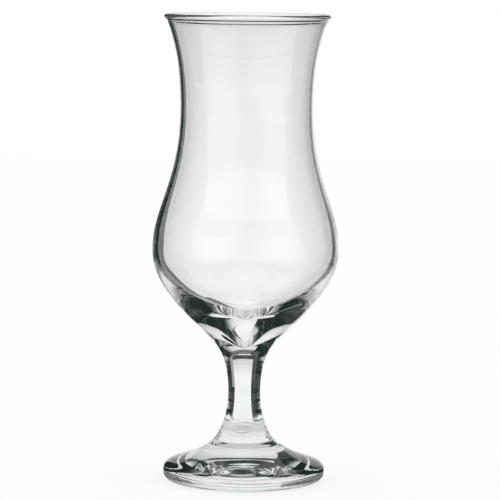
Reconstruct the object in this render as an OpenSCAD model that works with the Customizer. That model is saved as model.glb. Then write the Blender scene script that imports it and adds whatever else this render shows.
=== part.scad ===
// Hurricane glass: a blown bowl, a solid drawn stem and a pressed foot, fused end to end.
// Every piece is turned about the Z axis. The table is at z = 0 and the rim is at the top.
// A lean is the angle of an outline away from upright, in degrees, outwards as it rises.

/* [Bowl] */
// Rise of the bowl from the stem seam to the middle of the cone under the belly
cone_h = 15.2; // [10:0.1:20]
// Outside diameter of that cone at its middle
cone_d = 41.2; // [34:0.1:50]
// Lean of the cone at its middle
cone_lean = 47; // [35:1:55]
// Rise from the middle of the cone to the belly
belly_h = 34; // [26:0.1:42]
// Outside diameter of the belly, the widest place of the glass
belly_d = 81.9; // [70:0.1:95]
// Rise from the belly to the waist
waist_h = 61.3; // [45:0.1:78]
// Outside diameter of the waist, the narrowest place of the wall
waist_d = 58.2; // [48:0.1:66]
// Rise from the waist to the middle of the rim bead
mouth_h = 40.1; // [30:0.1:50]
// Outside diameter of the rim bead
rim_d = 72.9; // [64:0.1:84]
// Lean of the wall where it meets the rim bead
mouth_lean = 20; // [8:1:30]
// Wall at the mouth
mouth_wall = 1.5; // [1.2:0.05:2.4]
// Wall at the waist
waist_wall = 1.5; // [1.2:0.05:2.6]
// Wall at the belly
belly_wall = 2.4; // [1.8:0.05:3.6]
// Rise from the stem seam to the heel, where the inside of the wall turns into the pointed bottom
heel_h = 21.4; // [18:0.1:25]
// Inside diameter at the heel
heel_d = 35; // [30:0.1:40]
// Lean of the inside at the heel
heel_lean = 56; // [50:1:60]
// Solid glass between the stem seam and the tip of the inside bottom
base_h = 8.7; // [6:0.1:11]
// How far the melted rim bead stands out beyond the outside of the wall
bead_lip = 0.75; // [0.3:0.05:1]

/* [Stem] */
// Diameter of the stem at its narrowest place
stem_d = 14.1; // [11:0.1:18]
// Rise from the foot seam to the narrowest place
stem_low_h = 15.1; // [11:0.1:22]
// Rise from the narrowest place to the bowl seam
stem_high_h = 14.4; // [11:0.1:22]
// Diameter of the seam between stem and bowl
neck_d = 18.1; // [15:0.1:22]
// Lean of the outline at the bowl seam
neck_lean = 20; // [10:1:30]
// Diameter of the seam between stem and foot
root_d = 19.7; // [16:0.1:24]
// Spread of the outline at the foot seam, outwards as it falls
root_lean = 22; // [10:1:32]
// How far each domed end of the stem is sunk into the neighbour that it is fused to
weld_rise = 1.2; // [0.6:0.1:2]

/* [Foot] */
// Diameter of the foot
foot_d = 71; // [60:0.1:82]
// Height of the widest line of the foot's edge above the table
edge_h = 4.1; // [3:0.1:5.5]
// Rise of the rounded edge from its widest line to the dome
round_h = 4.6; // [3.5:0.1:6]
// Width of the rounded edge above its widest line
round_w = 4.3; // [3:0.1:6]
// Rise of the dome from the rounded edge to the foot of the flare
dome_h = 5.4; // [4:0.1:7]
// Rise of the ringed flare from the dome to the stem seam
flare_h = 9.7; // [7:0.1:13]
// Width of the flare, outwards from the stem seam
flare_w = 8.4; // [6:0.1:11]
// Spread of the outline where the flare meets the dome, outwards as it falls
flare_lean = 60; // [50:1:66]
// Spread of the outline where the dome meets the rounded edge
dome_lean = 70; // [64:1:76]
// Number of mould rings on the flare
ring_count = 4; // [3:1:6]
// Height of each mould ring
ring_rise = 0.15; // [0.1:0.05:0.4]
// Distance from the edge of the foot in to the ring that it stands on
tuck_w = 6; // [4:0.1:8]
// Width of the flat ring that the glass stands on
bearing_w = 3; // [2:0.1:5]
// Depth of the hollow under the foot, inside the standing ring
hollow_rise = 1.2; // [0.8:0.1:3]

/* [Hidden] */

// Facets round the axis, straight stretches along one curve, and stretches along one mould ring
round_fn = 144;
curve_steps = 18;
ring_steps = 8;

// Pulls of the curves, as shares of the straight distance between the ends of each
neck_cone_shares = [0.25, 0.59];
cone_belly_shares = [0.36, 0.36];
belly_waist_shares = [0.29, 0.51];
waist_mouth_shares = [0.37, 0.35];
belly_heel_shares = [0.44, 0.20];
heel_floor_shares = [0.48, 0.06];
root_stem_shares = [0.33, 0.33];
stem_neck_shares = [0.22, 0.34];
root_flare_shares = [0.40, 0.38];
flare_dome_shares = [0.35, 0.35];
dome_edge_shares = [0.39, 0.48];
edge_bearing_shares = [0.29, 0.70];

// Directions along an outline, in degrees from straight up, turning outwards
up = 0;
down = 180;
inwards = 270;

// Heights of the two seams and of the stations of the bowl
root_z = edge_h + round_h + dome_h + flare_h;
stem_z = root_z + stem_low_h;
neck_z = stem_z + stem_high_h;
cone_z = neck_z + cone_h;
belly_z = cone_z + belly_h;
waist_z = belly_z + waist_h;
bead_z = waist_z + mouth_h;
heel_z = neck_z + heel_h;
floor_z = neck_z + base_h;

// The rim bead is flush with the inside of the wall and stands proud of the outside
bead_d = mouth_wall + bead_lip;
bead_at = [(rim_d - bead_d) / 2, bead_z];
mouth_in = bead_at + (bead_d / 2) * heading(mouth_lean + inwards);
mouth_out = mouth_in - mouth_wall * heading(mouth_lean + inwards);

// Stations of the outlines, as radius and height
root_at = [root_d / 2, root_z];
stem_at = [stem_d / 2, stem_z];
neck_at = [neck_d / 2, neck_z];
cone_at = [cone_d / 2, cone_z];
belly_at = [belly_d / 2, belly_z];
waist_at = [waist_d / 2, waist_z];
heel_at = [heel_d / 2, heel_z];
floor_at = [0, floor_z];
flare_at = [root_d / 2 + flare_w, root_z - flare_h];
dome_at = [foot_d / 2 - round_w, edge_h + round_h];
edge_at = [foot_d / 2, edge_h];
bearing_at = [foot_d / 2 - tuck_w, 0];
hollow_at = [foot_d / 2 - tuck_w - bearing_w, 0];

glass_tint = [0.86, 0.90, 0.88, 0.45];

// Unit step along an outline, from an angle away from straight up
function heading(angle) = [sin(angle), cos(angle)];

// Point of a cubic curve with four control points
function on_curve(a, b, c, d, t) =
    a * pow(1 - t, 3) + 3 * b * t * pow(1 - t, 2) + 3 * c * t * t * (1 - t) + d * pow(t, 3);

// Curve between two stations, leaving and arriving at given angles, without its last point
function curve(from, from_angle, to, to_angle, shares, steps = curve_steps) =
    let (reach = norm(to - from))
    [for (i = [0 : steps - 1])
        on_curve(
            from,
            from + reach * shares[0] * heading(from_angle),
            to - reach * shares[1] * heading(to_angle),
            to,
            i / steps)];

// Round dome or hollow over a circle, from its edge to the axis
function dome(edge_r, edge_z, rise) =
    let (ball_r = (edge_r * edge_r + rise * rise) / (2 * rise))
    let (half_angle = asin(edge_r / ball_r))
    let (ball_z = edge_z + rise - ball_r)
    [for (i = [0 : curve_steps])
        let (angle = half_angle * (1 - i / curve_steps))
        [ball_r * sin(angle), ball_z + ball_r * cos(angle)]];

// A pair of shares for the same curve drawn the other way round
function swapped(shares) = [shares[1], shares[0]];

// A seam drawn from the axis back out to just before its edge, which begins the outline
function back_out(points) = [for (i = [len(points) - 1 : -1 : 1]) points[i]];

// Seams: the stem's domed ends and the seats in its neighbours are the same curves
function bowl_seam() = dome(neck_d / 2, neck_z, weld_rise);
function foot_seam() = [for (p = dome(root_d / 2, -root_z, weld_rise)) [p[0], -p[1]]];

// Outside of the bowl, from the stem seam up to the rim
function bowl_outside() = concat(
    curve(neck_at, neck_lean, cone_at, cone_lean, neck_cone_shares),
    curve(cone_at, cone_lean, belly_at, up, cone_belly_shares),
    curve(belly_at, up, waist_at, up, belly_waist_shares),
    curve(waist_at, up, mouth_out, mouth_lean, waist_mouth_shares),
    [mouth_out]);

// Inside of the bowl, from the rim down to the tip of its pointed bottom
function bowl_inside() =
    let (waist_in = waist_at - [waist_wall, 0])
    let (belly_in = belly_at - [belly_wall, 0])
    concat(
        curve(mouth_in, mouth_lean + down, waist_in, down, swapped(waist_mouth_shares)),
        curve(waist_in, down, belly_in, down, swapped(belly_waist_shares)),
        curve(belly_in, down, heel_at, down + heel_lean, belly_heel_shares),
        curve(heel_at, down + heel_lean, floor_at, inwards, heel_floor_shares),
        [floor_at]);

// Side of the stem, from the foot seam up to just under the bowl seam
function stem_side() = concat(
    curve(root_at, -root_lean, stem_at, up, root_stem_shares),
    curve(stem_at, up, neck_at, neck_lean, stem_neck_shares));

// Flare of the foot with its mould rings, from the stem seam down to the dome
function ringed_flare() =
    let (steps = ring_count * ring_steps)
    let (plain = curve(root_at, down - root_lean, flare_at, down - flare_lean, root_flare_shares, steps))
    [for (i = [0 : steps - 1])
        let (angle = root_lean + (flare_lean - root_lean) * i / steps)
        plain[i] + ring_rise * abs(sin(180 * i / ring_steps)) * [cos(angle), sin(angle)]];

// Top and edge of the foot, from the flare down and in to the standing ring
function foot_top() = concat(
    curve(flare_at, down - flare_lean, dome_at, down - dome_lean, flare_dome_shares),
    curve(dome_at, down - dome_lean, edge_at, down, dome_edge_shares),
    curve(edge_at, down, bearing_at, inwards, edge_bearing_shares),
    [bearing_at]);

// Blown bowl with its melted rim bead and its solid base
module bowl() {
    color(glass_tint)
    rotate_extrude($fn = round_fn)
    union() {
        polygon(concat(bowl_outside(), bowl_inside(), back_out(bowl_seam())));
        translate(bead_at)
        circle(d = bead_d, $fn = round_fn);
    }
}

// Solid drawn stem, domed at both ends
module stem() {
    color(glass_tint)
    rotate_extrude($fn = round_fn)
    polygon(concat(stem_side(), bowl_seam(), back_out(foot_seam())));
}

// Pressed foot, standing on a flat ring round a shallow hollow
module foot() {
    color(glass_tint)
    rotate_extrude($fn = round_fn)
    polygon(concat(ringed_flare(), foot_top(), dome(hollow_at[0], hollow_at[1], hollow_rise),
        back_out(foot_seam())));
}

bowl();
stem();
foot();
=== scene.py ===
import math
from collections import namedtuple

import bpy
from bpy.props import (
    FloatProperty,
    FloatVectorProperty,
    IntProperty,
    PointerProperty,
)
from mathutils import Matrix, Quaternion, Vector


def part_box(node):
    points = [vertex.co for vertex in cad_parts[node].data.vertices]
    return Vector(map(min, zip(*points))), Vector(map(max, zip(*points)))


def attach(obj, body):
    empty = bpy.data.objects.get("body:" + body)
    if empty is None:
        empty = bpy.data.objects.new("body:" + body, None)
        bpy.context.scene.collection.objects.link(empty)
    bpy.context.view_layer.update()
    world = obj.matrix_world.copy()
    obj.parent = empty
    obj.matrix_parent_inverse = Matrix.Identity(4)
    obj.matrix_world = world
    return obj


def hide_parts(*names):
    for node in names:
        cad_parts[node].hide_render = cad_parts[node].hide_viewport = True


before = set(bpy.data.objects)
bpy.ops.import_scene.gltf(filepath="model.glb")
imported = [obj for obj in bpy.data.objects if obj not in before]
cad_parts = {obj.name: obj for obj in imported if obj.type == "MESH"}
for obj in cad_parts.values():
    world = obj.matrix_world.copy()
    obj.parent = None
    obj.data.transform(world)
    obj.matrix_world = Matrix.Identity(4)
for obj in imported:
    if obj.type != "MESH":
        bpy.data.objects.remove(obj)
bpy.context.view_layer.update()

bl_info = {
    "name": "Hurricane glass",
    "version": (1, 0, 0),
    "blender": (4, 5, 0),
    "location": "View3D > Sidebar > Glass",
    "description": "Turns the bowl, stem and foot of a hurricane glass and lays out its studio set",
    "category": "Add Mesh",
}

bowl_low, bowl_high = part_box("bowl")
stem_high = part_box("stem")[1]
foot_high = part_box("foot")[1]

MM = 0.001
UP, DOWN, INWARDS, OUTWARDS = 0.0, 180.0, 270.0, 90.0

# Pulls of a shallow arc and of a rounded quarter
ARC_SHARES = (1 / 3, 1 / 3)
QUARTER_SHARES = (0.39, 0.39)

# Steps of a turned piece round the axis, and straight spans along each kind of stretch
TURN_STEPS = 256
SEAM_SPANS = 8
NECK_SPANS = 24
BELLY_SPANS = 48
WALL_SPANS = 24
MOUTH_SPANS = 16
BEAD_SPANS = 6
FLOOR_SPANS = 30
STEM_SPANS = 32
RING_SPANS = 12
FOOT_SPANS = 24
BEARING_SPANS = 4

# Vertices this close are one, edges flatter than this are smooth, and the edge of a seam has this slack
MERGE = 0.001 * MM
SMOOTH_ANGLE = math.radians(40)
SLACK = 0.1 * MM

# Upward shares of a unit normal: of a steep and a flat place on top, of the same places in the hollow,
# and of a seam
TOP_FACING = (0.2, 0.6)
HOLLOW_FACING = (-0.5, -0.9)
SEAM_FACING = 0.9

# Steps round the table, the share of its light that is even, and the bounces that thick glass needs
TABLE_STEPS = 128
TABLE_SHARE = 0.8
BOUNCES = 32

# A stretch of a turned outline: where it starts and ends, as radius and height,
# its headings there in degrees from straight up, the pull of the curve at each end,
# and the number of straight spans that it is drawn with
Stretch = namedtuple("Stretch", "start leaving end arriving shares spans")

# A card of the set: the angles that it spans, clockwise from above, from straight behind the glass,
# the radius and height of its first and last edges in metres, its colour,
# and the shares of it over which its sides and its last edge fade
Card = namedtuple("Card", "name turn first last colour soft")
SHARP = (0, 0)
WHITE = (1.0, 1.0, 1.0)
PALE = (0.6, 0.6, 0.6)
GREY = (0.35, 0.36, 0.35)
BLACK = (0.015, 0.024, 0.018)
CARDS = (
    Card("back_card", (-40, 40), (1.2, 0.5), (1.2, 0.0), PALE, (0, 1)),
    Card("back_top_card", (-40, 40), (1.2, 1.2), (1.2, 0.5), BLACK, SHARP),
    Card("back_light", (-40, 40), (1.1, 0.9), (0.85, 1.15), WHITE, (0.5, 0.5)),
    Card("left_flag", (-80, -17), (0.4, 0.001), (0.4, 0.5), BLACK, SHARP),
    Card("right_grey_flag", (26, 36), (0.4, 0.001), (0.4, 0.5), GREY, SHARP),
    Card("right_flag", (36, 92), (0.4, 0.001), (0.4, 0.5), BLACK, SHARP),
    Card("left_table_card", (-100, -17), (0.042, 0.001), (1.2, 0.001), BLACK, SHARP),
    Card("right_table_card", (26, 100), (0.042, 0.001), (1.2, 0.001), BLACK, SHARP),
    Card("front_table_card", (100, 260), (0.15, 0.001), (1.2, 0.001), GREY, (0, 1)),
    Card("front_wall", (60, 300), (1.3, 0.002), (1.3, 1.2), BLACK, SHARP),
    Card("right_softbox", (90, 178), (1.2, 0.0), (1.2, 1.1), WHITE, (0.35, 0.3)),
    Card("left_softbox", (160, 280), (1.2, 0.0), (1.2, 1.1), WHITE, (0.35, 0.3)),
    Card("ceiling_card", (0, 360), (1.2, 1.2), (0.01, 1.2), BLACK, SHARP),
    Card("top_softbox", (95, 265), (0.45, 1.19), (0.01, 1.19), WHITE, SHARP),
    # Painted shadow: black rings lying on the table round the foot's standing ring, seen only through
    # the glass, stand for the foot's shadow on the table
    Card("left_painted_shadow_rim", (-150, -14), (0.027, 0.0003), (0.042, 0.0003), BLACK, (0.15, 0)),
    Card("right_painted_shadow_rim", (14, 150), (0.027, 0.0003), (0.042, 0.0003), BLACK, (0.15, 0)),
    # Painted shadow: cards lying on the table under the foot's hollow, black at the sides and grey at
    # the back and front, seen only through the glass, stand for the table in the foot's shadow
    Card("left_painted_shadow_under_foot", (-140, -40), (0.018, 0.0003), (0.0258, 0.0003), BLACK, (0.25, 0)),
    Card("right_painted_shadow_under_foot", (40, 140), (0.018, 0.0003), (0.0258, 0.0003), BLACK, (0.25, 0)),
    Card("back_painted_shade_under_foot", (-40, 40), (0.0005, 0.0003), (0.0258, 0.0003), PALE, (0.4, 0)),
    Card("front_painted_shade_under_foot", (140, 220), (0.0005, 0.0003), (0.0258, 0.0003), PALE, (0.4, 0)),
)

# Steps along and across a card, and how near its first side a turned vertex still counts as on it
CARD_STEPS = 32
START_SLACK = 1e-4


def length(name, description, default):
    """A size in metres."""
    return FloatProperty(
        name=name, description=description, default=default, unit="LENGTH", precision=5
    )


def lean(name, description, degrees):
    """An angle away from upright."""
    return FloatProperty(
        name=name, description=description, default=math.radians(degrees), subtype="ANGLE"
    )


def pulls(name, description, default):
    """How far the two ends of a curve pull it along their headings, as shares of its reach."""
    return FloatVectorProperty(
        name=name, description=description, default=default, size=2, min=0, max=1
    )


class BowlSizes(bpy.types.PropertyGroup):
    """Sizes of the blown bowl"""

    neck_radius: length("Neck radius", "Radius of the seam with the stem", 9.05 * MM)
    neck_lean: lean("Neck lean", "Lean of the outline at the stem seam", 20)
    cone_rise: length("Cone rise", "From the stem seam up to the middle of the cone", 15.2 * MM)
    cone_radius: length("Cone radius", "Outside radius at the middle of the cone", 20.6 * MM)
    cone_lean: lean("Cone lean", "Lean of the cone under the belly", 47)
    belly_rise: length("Belly rise", "From the middle of the cone up to the belly", 34 * MM)
    belly_radius: length("Belly radius", "Outside radius at the widest place", bowl_high.x)
    waist_rise: length("Waist rise", "From the belly up to the waist", 61.3 * MM)
    waist_radius: length("Waist radius", "Outside radius at the waist", 29.1 * MM)
    rim_radius: length("Rim radius", "Outside radius of the rim bead", 36.45 * MM)
    mouth_lean: lean("Mouth lean", "Lean of the wall under the rim", 20)
    mouth_wall: length("Mouth wall", "Wall at the mouth", 1.5 * MM)
    waist_wall: length("Waist wall", "Wall at the waist", 1.5 * MM)
    belly_wall: length("Belly wall", "Wall at the belly", 2.4 * MM)
    heel_rise: length("Heel rise", "From the stem seam up to the turn into the bottom", 21.4 * MM)
    heel_radius: length("Heel radius", "Inside radius where the wall turns into the bottom", 17.5 * MM)
    heel_lean: lean("Heel lean", "Lean of the inside at the heel", 56)
    base_rise: length("Base", "Solid glass from the stem seam to the inside bottom", 8.7 * MM)
    bead_lip: length("Bead lip", "How far the rim bead stands out of the wall", 0.75 * MM)
    bead_neck: length("Bead neck", "Length of wall over which the bead swells", 2.0 * MM)
    neck_cone: pulls("Neck to cone", "Pull of the curve from neck to cone", (0.25, 0.59))
    cone_belly: pulls("Cone to belly", "Pull of the curve from cone to belly", (0.36, 0.36))
    belly_waist: pulls("Belly to waist", "Pull of the curve from belly to waist", (0.29, 0.51))
    waist_mouth: pulls("Waist to mouth", "Pull of the curve from waist to mouth", (0.37, 0.35))
    belly_heel: pulls("Belly to heel", "Pull of the inside from belly to heel", (0.44, 0.20))
    heel_floor: pulls("Heel to bottom", "Pull of the inside from heel to bottom", (0.48, 0.06))


class StemSizes(bpy.types.PropertyGroup):
    """Sizes of the solid stem"""

    waist_radius: length("Waist radius", "Radius of the stem at its narrowest place", 7.05 * MM)
    waist_rise: length("Waist rise", "From the foot seam up to the narrowest place", 15.1 * MM)
    root_radius: length("Root radius", "Radius of the seam with the foot", stem_high.x)
    root_lean: lean("Root lean", "Spread of the outline at the foot seam", 22)
    weld_rise: length(
        "Weld rise", "How far each domed end is sunk into its neighbour", stem_high.z - bowl_low.z
    )
    root_waist: pulls("Root to waist", "Pull of the curve from foot seam to waist", (0.33, 0.33))
    waist_neck: pulls("Waist to neck", "Pull of the curve from waist to bowl seam", (0.22, 0.34))


class FootSizes(bpy.types.PropertyGroup):
    """Sizes of the pressed foot"""

    edge_radius: length("Foot radius", "Radius of the foot at its widest line", foot_high.x)
    edge_rise: length("Edge rise", "Height of the widest line above the table", 4.1 * MM)
    round_rise: length("Round rise", "Rise of the rounded edge above its widest line", 4.6 * MM)
    round_width: length("Round width", "Width of the rounded edge", 4.3 * MM)
    dome_lean: lean("Dome lean", "Spread of the dome at the rounded edge", 70)
    flare_rise: length("Flare rise", "Rise of the ringed flare up to the stem seam", 9.7 * MM)
    flare_width: length("Flare width", "Width of the flare, outwards from the stem seam", 8.4 * MM)
    flare_lean: lean("Flare lean", "Spread where the flare meets the dome", 60)
    ring_count: IntProperty(name="Rings", description="Mould rings on the flare", default=4, min=1)
    ring_rise: length("Ring rise", "Height of each mould ring", 0.15 * MM)
    tuck: length("Tuck", "From the edge in to the standing ring", 6 * MM)
    bearing: length("Standing ring", "Width of the flat ring that the glass stands on", 3 * MM)
    weld_drop: length("Weld drop", "How far below the stem seam the weld's crease runs", 1.4 * MM)
    weld_width: length("Weld width", "Half the width of the weld's crease", 0.6 * MM)
    hollow_rise: length("Hollow", "Depth of the hollow under the foot", 1.2 * MM)
    root_flare: pulls("Root to flare", "Pull of the curve down the flare", (0.40, 0.38))
    flare_dome: pulls("Flare to dome", "Pull of the curve over the dome", (0.35, 0.35))
    dome_edge: pulls("Dome to edge", "Pull of the curve round the edge", (0.39, 0.48))
    edge_bearing: pulls("Edge to ring", "Pull of the curve under the edge", (0.29, 0.70))


class GlassFinish(bpy.types.PropertyGroup):
    """Look of the clear glass"""

    wall_tint: FloatVectorProperty(
        name="Wall tint", description="What the bowl lets through",
        subtype="COLOR", size=4, default=(0.985, 0.985, 0.99, 1),
    )
    solid_tint: FloatVectorProperty(
        name="Solid tint", description="What the solid stem and foot let through",
        subtype="COLOR", size=4, default=(0.91, 0.94, 0.93, 1),
    )
    ior: FloatProperty(name="IOR", description="Bending of light by soda-lime glass", default=1.52)
    wave_size: length("Wave size", "Spread of the slow waves in the blown surface", 22 * MM)
    wave_depth: length("Wave depth", "Depth of those waves", 0.02 * MM)
    ripple_size: length("Ripple size", "Spread of the ripples left by hot working", 14 * MM)
    weld_depth: length("Weld depth", "Depth of the weld's crease on the flare", 0.3 * MM)
    bottom_ripple: length("Bottom ripple", "Depth of the ripples on the inside bottom", 0.2 * MM)
    foot_ripple: length("Foot ripple", "Depth of the ripples on the foot", 0.25 * MM)


class StageSettings(bpy.types.PropertyGroup):
    """Camera and set"""

    camera_away: length("Camera distance", "Level distance from the glass to the camera", 1.230)
    camera_rise: length("Camera height", "Height of the camera above the table", 0.2302)
    camera_aim: length("Camera aim", "Height of the point that the camera looks at", 0.1018)
    camera_side: length("Camera offset", "How far the camera stands to the right", 1.94 * MM)
    camera_roll: FloatProperty(
        name="Camera roll", description="Roll of the camera",
        default=math.radians(0.56), subtype="ANGLE",
    )
    lens: FloatProperty(name="Lens", description="Focal length on a 36 mm sensor", default=202.8)
    table_radius: length("Table radius", "Radius of the round pale table", 2.0)


def point(radius, height):
    """A place on the outline, in the plane that is turned round the axis."""
    return Vector((radius, 0, height))


def heading(degrees):
    """A unit step along the outline, from an angle away from straight up, turning outwards."""
    angle = math.radians(degrees)
    return Vector((math.sin(angle), 0, math.cos(angle)))


def shallow_dome(radius, height, rise, spans):
    """A shallow dome or dish of a seam or of the hollow, from the axis out to its edge."""
    half_angle = math.degrees(2 * math.atan(rise / radius))
    top = point(0, height + rise)
    edge = point(radius, height)
    return Stretch(top, OUTWARDS, edge, OUTWARDS + half_angle, ARC_SHARES, spans)


def swapped(shares):
    """Pulls of the same curve drawn the other way round."""
    return (shares[1], shares[0])


def reversed_stretch(stretch):
    """The same stretch drawn from its other end."""
    return Stretch(
        stretch.end,
        stretch.arriving + 180,
        stretch.start,
        stretch.leaving + 180,
        swapped(stretch.shares),
        stretch.spans,
    )


def draw_outline(name, stretches):
    """Draws a half section as a curve, cuts it into its spans and makes it a line of edges."""
    bpy.ops.object.select_all(action="DESELECT")
    bpy.ops.curve.primitive_bezier_curve_add(enter_editmode=False, location=(0, 0, 0))
    outline = bpy.context.object
    outline.name = name
    outline.data.name = name
    outline.data.dimensions = "3D"
    outline.data.resolution_u = 1
    knots = outline.data.splines[0].bezier_points
    knots.add(len(stretches) + 1 - len(knots))
    for knot in knots:
        knot.handle_left_type = "FREE"
        knot.handle_right_type = "FREE"
    knots[0].co = stretches[0].start
    knots[0].handle_left = stretches[0].start
    for i, stretch in enumerate(stretches):
        reach = (stretch.end - stretch.start).length
        leaving = heading(stretch.leaving) * reach * stretch.shares[0]
        arriving = heading(stretch.arriving) * reach * stretch.shares[1]
        knots[i].handle_right = stretch.start + leaving
        knots[i + 1].co = stretch.end
        knots[i + 1].handle_left = stretch.end - arriving
        knots[i + 1].handle_right = stretch.end
    bpy.ops.object.mode_set(mode="EDIT")
    for i in reversed(range(len(stretches))):
        bpy.ops.curve.select_all(action="DESELECT")
        for knot in outline.data.splines[0].bezier_points[i:i + 2]:
            knot.select_control_point = True
        bpy.ops.curve.subdivide(number_cuts=stretches[i].spans - 1)
    bpy.ops.object.mode_set(mode="OBJECT")
    bpy.ops.object.convert(target="MESH")
    return bpy.context.object


def turn():
    """Turns the active half section round the axis into a closed solid with smooth faces."""
    bpy.ops.object.mode_set(mode="EDIT")
    bpy.ops.mesh.select_all(action="SELECT")
    bpy.ops.mesh.spin(steps=TURN_STEPS, angle=math.tau, center=(0, 0, 0), axis=(0, 0, 1))
    bpy.ops.mesh.select_all(action="SELECT")
    bpy.ops.mesh.remove_doubles(threshold=MERGE)
    bpy.ops.mesh.normals_make_consistent(inside=False)
    bpy.ops.object.mode_set(mode="OBJECT")
    bpy.ops.object.shade_smooth_by_angle(angle=SMOOTH_ANGLE)


def ramp(value, start, end):
    """Rises smoothly from 0 at start to 1 at end, which may be the smaller one."""
    share = max(0.0, min(1.0, (value - start) / (end - start)))
    return share * share * (3 - 2 * share)


def weld_wave(place):
    """How the crease of the weld wanders up and down round the flare, about a level of 1."""
    angle = math.atan2(place.y, place.x)
    slow_wave = 0.25 * math.sin(3 * angle)
    quick_wave = 0.2 * math.sin(7 * angle + 1)
    return 1 + slow_wave + quick_wave


def push(piece, name, weigh):
    """A modifier that moves a weighted part of a surface along its normals."""
    group = piece.vertex_groups.new(name=name)
    for vertex in piece.data.vertices:
        weight = weigh(vertex.co, vertex.normal)
        if weight > 0:
            group.add([vertex.index], weight, "REPLACE")
    modifier = piece.modifiers.new(name, "DISPLACE")
    modifier.vertex_group = name
    return modifier


def crease(piece, name, depth, weigh):
    """Presses a narrow groove into a surface."""
    groove = push(piece, name, weigh)
    groove.mid_level = 0
    groove.strength = -depth
    bpy.ops.object.modifier_apply(modifier=name)


def ripple(piece, name, grain, depth, weigh):
    """Pushes part of a surface in and out in slow uneven waves, as hot working leaves them."""
    texture = bpy.data.textures.new(name, "CLOUDS")
    texture.noise_basis = "IMPROVED_PERLIN"
    texture.noise_scale = grain
    texture.noise_depth = 0
    waves = push(piece, name, weigh)
    waves.texture = texture
    waves.texture_coords = "LOCAL"
    waves.mid_level = 0.5
    waves.strength = depth
    bpy.ops.object.modifier_apply(modifier=name)


def fuse(piece, on_seam):
    """Gives the faces of a fused seam the seam material, by their place and normal."""
    bpy.ops.object.mode_set(mode="EDIT")
    bpy.ops.mesh.select_mode(type="FACE")
    bpy.ops.mesh.select_all(action="DESELECT")
    bpy.ops.object.mode_set(mode="OBJECT")
    for face in piece.data.polygons:
        face.select = on_seam(face.center, face.normal)
    piece.active_material_index = 1
    bpy.ops.object.mode_set(mode="EDIT")
    bpy.ops.object.material_slot_assign()
    bpy.ops.object.mode_set(mode="OBJECT")


def finish_piece(piece, node):
    """Lets a glass piece stand for its node of the frame."""
    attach(piece, "root")
    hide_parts(node)


def new_material(name):
    """An empty node material with its output."""
    material = bpy.data.materials.new(name)
    material.use_nodes = True
    material.node_tree.nodes.clear()
    output = material.node_tree.nodes.new("ShaderNodeOutputMaterial")
    return material, material.node_tree, output


def clear_glass(name, tint, finish):
    """Clear soda-lime glass with the slow waves of a blown and fire-polished surface."""
    material, tree, output = new_material(name)
    shader = tree.nodes.new("ShaderNodeBsdfPrincipled")
    shader.inputs["Base Color"].default_value = tint
    shader.inputs["Roughness"].default_value = 0.0
    shader.inputs["IOR"].default_value = finish.ior
    shader.inputs["Transmission Weight"].default_value = 1.0
    place = tree.nodes.new("ShaderNodeTexCoord")
    waves = tree.nodes.new("ShaderNodeTexNoise")
    waves.inputs["Scale"].default_value = 1 / finish.wave_size
    waves.inputs["Detail"].default_value = 1.0
    relief = tree.nodes.new("ShaderNodeBump")
    relief.inputs["Distance"].default_value = finish.wave_depth
    tree.links.new(place.outputs["Object"], waves.inputs["Vector"])
    tree.links.new(waves.outputs["Fac"], relief.inputs["Height"])
    tree.links.new(relief.outputs["Normal"], shader.inputs["Normal"])
    tree.links.new(shader.outputs["BSDF"], output.inputs["Surface"])
    return material


def fused_seam():
    """The inside of a fused seam, where light goes straight on."""
    if "fused_seam" in bpy.data.materials:
        return bpy.data.materials["fused_seam"]
    material, tree, output = new_material("fused_seam")
    shader = tree.nodes.new("ShaderNodeBsdfTransparent")
    tree.links.new(shader.outputs["BSDF"], output.inputs["Surface"])
    return material


def glaze(piece, tint, finish):
    """Gives a piece the glass and the seam materials."""
    piece.data.materials.append(clear_glass(piece.name + "_glass", tint, finish))
    piece.data.materials.append(fused_seam())


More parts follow.
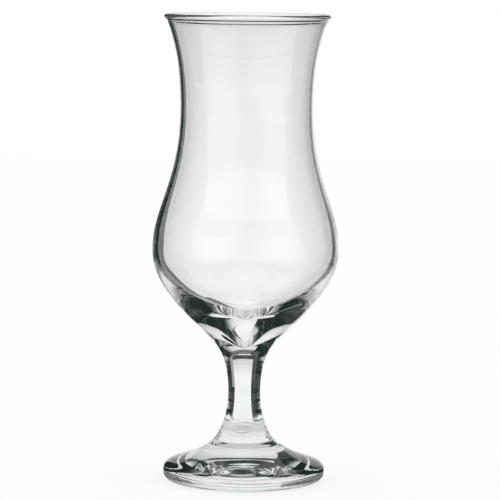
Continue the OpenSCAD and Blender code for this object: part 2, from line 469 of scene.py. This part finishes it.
class HURRICANE_OT_bowl(bpy.types.Operator):
    """Turn the blown bowl with its melted rim and solid base"""

    bl_idname = "hurricane.bowl"
    bl_label = "Bowl"

    def execute(self, context):
        s = context.scene.glass_bowl
        weld_rise = context.scene.glass_stem.weld_rise
        neck = point(s.neck_radius, bowl_low.z)
        cone = neck + point(s.cone_radius - s.neck_radius, s.cone_rise)
        belly = point(s.belly_radius, cone.z + s.belly_rise)
        waist = point(s.waist_radius, belly.z + s.waist_rise)
        belly_in = belly - point(s.belly_wall, 0)
        waist_in = waist - point(s.waist_wall, 0)
        heel = point(s.heel_radius, neck.z + s.heel_rise)
        floor = point(0, neck.z + s.base_rise)
        neck_lean = math.degrees(s.neck_lean)
        cone_lean = math.degrees(s.cone_lean)
        heel_down = DOWN + math.degrees(s.heel_lean)
        mouth_lean = math.degrees(s.mouth_lean)
        mouth_down = DOWN + mouth_lean
        bead = (s.mouth_wall + s.bead_lip) / 2
        bead_middle = point(s.rim_radius - bead, bowl_high.z - bead)
        mouth_in = bead_middle + heading(mouth_lean + INWARDS) * bead
        mouth_out = mouth_in - heading(mouth_lean + INWARDS) * s.mouth_wall
        bead_foot = mouth_out - heading(mouth_lean) * s.bead_neck
        bead_side = bead_middle + point(bead, 0)
        bead_top = bead_middle + point(0, bead)
        outline = [
            shallow_dome(s.neck_radius, neck.z, weld_rise, SEAM_SPANS),
            Stretch(neck, neck_lean, cone, cone_lean, s.neck_cone, NECK_SPANS),
            Stretch(cone, cone_lean, belly, UP, s.cone_belly, BELLY_SPANS),
            Stretch(belly, UP, waist, UP, s.belly_waist, WALL_SPANS),
            Stretch(waist, UP, bead_foot, mouth_lean, s.waist_mouth, MOUTH_SPANS),
            Stretch(bead_foot, mouth_lean, bead_side, UP, ARC_SHARES, BEAD_SPANS),
            Stretch(bead_side, UP, bead_top, INWARDS, QUARTER_SHARES, BEAD_SPANS),
            Stretch(bead_top, INWARDS, mouth_in, mouth_down, ARC_SHARES, BEAD_SPANS),
            Stretch(mouth_in, mouth_down, waist_in, DOWN, swapped(s.waist_mouth), MOUTH_SPANS),
            Stretch(waist_in, DOWN, belly_in, DOWN, swapped(s.belly_waist), WALL_SPANS),
            Stretch(belly_in, DOWN, heel, heel_down, s.belly_heel, BELLY_SPANS),
            Stretch(heel, heel_down, floor, INWARDS, s.heel_floor, FLOOR_SPANS),
        ]
        piece = draw_outline("glass_bowl", outline)
        turn()
        finish = context.scene.glass_finish
        ripple(
            piece,
            "inside_bottom_ripple",
            finish.ripple_size,
            finish.bottom_ripple,
            lambda place, normal: ramp(place.z, belly.z, heel.z)
            * ramp(normal.z, *TOP_FACING)
            * ramp(place.xy.length, 0, heel.x / 2),
        )
        glaze(piece, finish.wall_tint, finish)
        fuse(
            piece,
            lambda place, normal: place.z < neck.z + weld_rise and normal.z < -SEAM_FACING,
        )
        finish_piece(piece, "bowl")
        return {"FINISHED"}


class HURRICANE_OT_stem(bpy.types.Operator):
    """Turn the solid stem between the two seams"""

    bl_idname = "hurricane.stem"
    bl_label = "Stem"

    def execute(self, context):
        s = context.scene.glass_stem
        bowl = context.scene.glass_bowl
        root = point(s.root_radius, foot_high.z)
        waist = point(s.waist_radius, root.z + s.waist_rise)
        neck = point(bowl.neck_radius, bowl_low.z)
        root_lean = math.degrees(s.root_lean)
        neck_lean = math.degrees(bowl.neck_lean)
        outline = [
            shallow_dome(s.root_radius, root.z, -s.weld_rise, SEAM_SPANS),
            Stretch(root, -root_lean, waist, UP, s.root_waist, STEM_SPANS),
            Stretch(waist, UP, neck, neck_lean, s.waist_neck, STEM_SPANS),
            reversed_stretch(shallow_dome(bowl.neck_radius, neck.z, s.weld_rise, SEAM_SPANS)),
        ]
        piece = draw_outline("glass_stem", outline)
        turn()
        finish = context.scene.glass_finish
        glaze(piece, finish.solid_tint, finish)
        fuse(piece, lambda place, normal: abs(normal.z) > SEAM_FACING)
        finish_piece(piece, "stem")
        return {"FINISHED"}


class HURRICANE_OT_foot(bpy.types.Operator):
    """Turn the pressed foot with its ringed flare and hollow underside"""

    bl_idname = "hurricane.foot"
    bl_label = "Foot"

    def execute(self, context):
        s = context.scene.glass_foot
        stem = context.scene.glass_stem
        root_lean = math.degrees(stem.root_lean)
        flare_lean = math.degrees(s.flare_lean)
        flare_down = DOWN - flare_lean
        dome_down = DOWN - math.degrees(s.dome_lean)
        root = point(stem.root_radius, foot_high.z)
        flare = root + point(s.flare_width, -s.flare_rise)
        dome = point(s.edge_radius - s.round_width, s.edge_rise + s.round_rise)
        edge = point(s.edge_radius, s.edge_rise)
        bearing = point(s.edge_radius - s.tuck, 0)
        hollow = bearing - point(s.bearing, 0)
        flare_spans = RING_SPANS * s.ring_count
        outline = [
            shallow_dome(stem.root_radius, root.z, -stem.weld_rise, SEAM_SPANS),
            Stretch(root, DOWN - root_lean, flare, flare_down, s.root_flare, flare_spans),
            Stretch(flare, flare_down, dome, dome_down, s.flare_dome, FOOT_SPANS),
            Stretch(dome, dome_down, edge, DOWN, s.dome_edge, FOOT_SPANS),
            Stretch(edge, DOWN, bearing, INWARDS, s.edge_bearing, FOOT_SPANS),
            Stretch(bearing, INWARDS, hollow, INWARDS, ARC_SHARES, BEARING_SPANS),
            reversed_stretch(shallow_dome(hollow.x, 0, s.hollow_rise, FOOT_SPANS)),
        ]
        piece = draw_outline("glass_foot", outline)
        for i in range(flare_spans + 1):
            share = i / flare_spans
            spread = math.radians(root_lean + (flare_lean - root_lean) * share)
            swell = s.ring_rise * abs(math.sin(math.pi * s.ring_count * share))
            outwards = Vector((math.cos(spread), 0, math.sin(spread)))
            piece.data.vertices[SEAM_SPANS + i].co += outwards * swell
        turn()
        finish = context.scene.glass_finish
        crease(
            piece,
            "weld_crease",
            finish.weld_depth,
            lambda place, normal: ramp(place.xy.length, root.x, root.x + SLACK)
            * ramp(abs(place.z - root.z + s.weld_drop * weld_wave(place)), s.weld_width, 0),
        )
        ripple(
            piece,
            "foot_top_ripple",
            finish.ripple_size,
            finish.foot_ripple,
            lambda place, normal: ramp(normal.z, *TOP_FACING)
            * ramp(place.xy.length, root.x, flare.x)
            * ramp(place.xy.length, edge.x, dome.x),
        )
        ripple(
            piece,
            "hollow_ripple",
            finish.ripple_size,
            finish.foot_ripple,
            lambda place, normal: ramp(normal.z, *HOLLOW_FACING)
            * ramp(place.xy.length, hollow.x, hollow.x * 4 / 5),
        )
        glaze(piece, finish.solid_tint, finish)
        root_low = root.z - stem.weld_rise
        fuse(
            piece,
            lambda place, normal: normal.z > SEAM_FACING
            and place.z > root_low - SLACK
            and place.xy.length < root.x,
        )
        finish_piece(piece, "foot")
        return {"FINISHED"}


def add_camera(s):
    """Puts the camera at the height and distance from which the glass is seen."""
    bpy.ops.object.select_all(action="DESELECT")
    bpy.ops.object.camera_add(location=(s.camera_side, -s.camera_away, s.camera_rise))
    camera = bpy.context.object
    camera.name = "camera"
    camera.data.sensor_width = 36.0
    camera.data.lens = s.lens
    aim = Vector((s.camera_side, 0, s.camera_aim)) - camera.location
    camera.rotation_mode = "QUATERNION"
    roll = Quaternion((0, 0, 1), s.camera_roll)
    camera.rotation_quaternion = aim.to_track_quat("-Z", "Y") @ roll
    bpy.context.scene.camera = camera
    return camera


def white_world():
    """Even white surroundings."""
    world = bpy.data.worlds.new("white_surroundings")
    world.use_nodes = True
    background = world.node_tree.nodes["Background"]
    background.inputs["Color"].default_value = (1, 1, 1, 1)
    background.inputs["Strength"].default_value = 1.0
    bpy.context.scene.world = world


def card_paint(name, colour):
    """One even colour for a card, which fades out towards the card's soft edges."""
    material, tree, output = new_material(name)
    shader = tree.nodes.new("ShaderNodeEmission")
    shader.inputs["Color"].default_value = (*colour, 1)
    shader.inputs["Strength"].default_value = 1.0
    gap = tree.nodes.new("ShaderNodeBsdfTransparent")
    fade = tree.nodes.new("ShaderNodeAttribute")
    fade.attribute_name = "fade"
    mix = tree.nodes.new("ShaderNodeMixShader")
    tree.links.new(fade.outputs["Fac"], mix.inputs["Fac"])
    tree.links.new(gap.outputs["BSDF"], mix.inputs[1])
    tree.links.new(shader.outputs["Emission"], mix.inputs[2])
    tree.links.new(mix.outputs["Shader"], output.inputs["Surface"])
    return material


def table_paint():
    """Pale table, nearly white where it is seen, with the shadow of the glass on it."""
    material, tree, output = new_material("pale_table")
    rays = tree.nodes.new("ShaderNodeLightPath")
    seen = tree.nodes.new("ShaderNodeMath")
    seen.operation = "MAXIMUM"
    seen_all = tree.nodes.new("ShaderNodeMath")
    seen_all.operation = "MAXIMUM"
    share = tree.nodes.new("ShaderNodeMath")
    share.operation = "MULTIPLY"
    share.inputs[1].default_value = TABLE_SHARE
    tree.links.new(rays.outputs["Is Camera Ray"], seen.inputs[0])
    tree.links.new(rays.outputs["Is Glossy Ray"], seen.inputs[1])
    tree.links.new(seen.outputs[0], seen_all.inputs[0])
    tree.links.new(rays.outputs["Is Transmission Ray"], seen_all.inputs[1])
    tree.links.new(seen_all.outputs[0], share.inputs[0])
    pale = tree.nodes.new("ShaderNodeBsdfDiffuse")
    pale.inputs["Color"].default_value = (0.95, 0.95, 0.95, 1)
    white = tree.nodes.new("ShaderNodeEmission")
    white.inputs["Strength"].default_value = 1.0
    mix = tree.nodes.new("ShaderNodeMixShader")
    tree.links.new(share.outputs[0], mix.inputs["Fac"])
    tree.links.new(pale.outputs["BSDF"], mix.inputs[1])
    tree.links.new(white.outputs["Emission"], mix.inputs[2])
    tree.links.new(mix.outputs["Shader"], output.inputs["Surface"])
    return material


def bent_card(card, rig):
    """A card bent round the glass: one of its sides, spun round the axis, on the card stand."""
    bpy.ops.object.select_all(action="DESELECT")
    bpy.ops.mesh.primitive_plane_add(size=1, location=(0, 0, 0))
    piece = bpy.context.object
    piece.name = card.name
    start = math.radians(card.turn[0])
    sweep = math.radians(card.turn[1] - card.turn[0])
    aside = Vector((math.sin(start), math.cos(start), 0))
    first = aside * card.first[0] + Vector((0, 0, card.first[1]))
    last = aside * card.last[0] + Vector((0, 0, card.last[1]))
    bpy.ops.object.mode_set(mode="EDIT")
    bpy.ops.mesh.select_mode(type="VERT")
    bpy.ops.mesh.select_all(action="DESELECT")
    bpy.ops.object.mode_set(mode="OBJECT")
    corners = piece.data.vertices
    corners[0].co = first
    corners[1].co = last
    corners[2].select = True
    corners[3].select = True
    bpy.ops.object.mode_set(mode="EDIT")
    bpy.ops.mesh.delete(type="VERT")
    bpy.ops.mesh.select_all(action="SELECT")
    bpy.ops.mesh.subdivide(number_cuts=CARD_STEPS - 1)
    bpy.ops.mesh.spin(steps=CARD_STEPS, angle=sweep, center=(0, 0, 0), axis=(0, 0, 1))
    bpy.ops.object.mode_set(mode="OBJECT")
    fade = piece.data.attributes.new("fade", "FLOAT", "POINT")
    for vertex in piece.data.vertices:
        turned = math.atan2(vertex.co.x, vertex.co.y) - start
        aside_share = (turned % math.tau) / sweep if abs(turned) > START_SLACK else 0.0
        place = Vector((vertex.co.xy.length, vertex.co.z))
        last_share = (place - Vector(card.first)).length / (last - first).length
        inset = max(0, min(aside_share, 1 - aside_share))
        level = inset / card.soft[0] if card.soft[0] else 1
        level = min(level, (1 - last_share) / card.soft[1]) if card.soft[1] else level
        fade.data[vertex.index].value = min(1, level)
    piece.data.materials.append(card_paint(card.name, card.colour))
    piece.visible_camera = False
    piece.visible_diffuse = False
    piece.visible_shadow = False
    piece.parent = rig


class HURRICANE_OT_stage(bpy.types.Operator):
    """Set up the camera, the white surroundings, the table and the cards round the glass"""

    bl_idname = "hurricane.stage"
    bl_label = "Stage"

    def execute(self, context):
        s = context.scene.glass_stage
        context.scene.view_settings.view_transform = "Standard"
        camera = add_camera(s)
        white_world()
        bpy.ops.object.select_all(action="DESELECT")
        bpy.ops.mesh.primitive_circle_add(
            vertices=TABLE_STEPS, radius=s.table_radius, fill_type="NGON", location=(0, 0, 0)
        )
        table = context.object
        table.name = "pale_table"
        table.data.materials.append(table_paint())
        bpy.ops.object.empty_add(location=(0, 0, 0))
        rig = context.object
        rig.name = "card_stand"
        # The cards turn about Z with the camera, so every view has the same light
        follow = rig.constraints.new("LOCKED_TRACK")
        follow.target = camera
        follow.track_axis = "TRACK_NEGATIVE_Y"
        follow.lock_axis = "LOCK_Z"
        for card in CARDS:
            bent_card(card, rig)
        cycles = context.scene.cycles
        cycles.max_bounces = BOUNCES
        cycles.glossy_bounces = BOUNCES
        cycles.transmission_bounces = BOUNCES
        cycles.transparent_max_bounces = BOUNCES
        return {"FINISHED"}


class HURRICANE_PT_panel(bpy.types.Panel):
    """Lists the pieces of the glass and the set"""

    bl_idname = "HURRICANE_PT_panel"
    bl_label = "Hurricane glass"
    bl_space_type = "VIEW_3D"
    bl_region_type = "UI"
    bl_category = "Glass"

    def draw(self, context):
        for operator in OPERATORS:
            self.layout.operator(operator.bl_idname)


PROPERTIES = {
    "glass_bowl": BowlSizes,
    "glass_stem": StemSizes,
    "glass_foot": FootSizes,
    "glass_finish": GlassFinish,
    "glass_stage": StageSettings,
}
OPERATORS = (HURRICANE_OT_bowl, HURRICANE_OT_stem, HURRICANE_OT_foot, HURRICANE_OT_stage)
CLASSES = (*PROPERTIES.values(), *OPERATORS, HURRICANE_PT_panel)


def register():
    for cls in CLASSES:
        bpy.utils.register_class(cls)
    for name, group in PROPERTIES.items():
        setattr(bpy.types.Scene, name, PointerProperty(type=group))


def unregister():
    for name in PROPERTIES:
        delattr(bpy.types.Scene, name)
    for cls in reversed(CLASSES):
        bpy.utils.unregister_class(cls)


def main():
    register()
    bpy.ops.hurricane.bowl()
    bpy.ops.hurricane.stem()
    bpy.ops.hurricane.foot()
    bpy.ops.hurricane.stage()


if __name__ == "__main__":
    main()
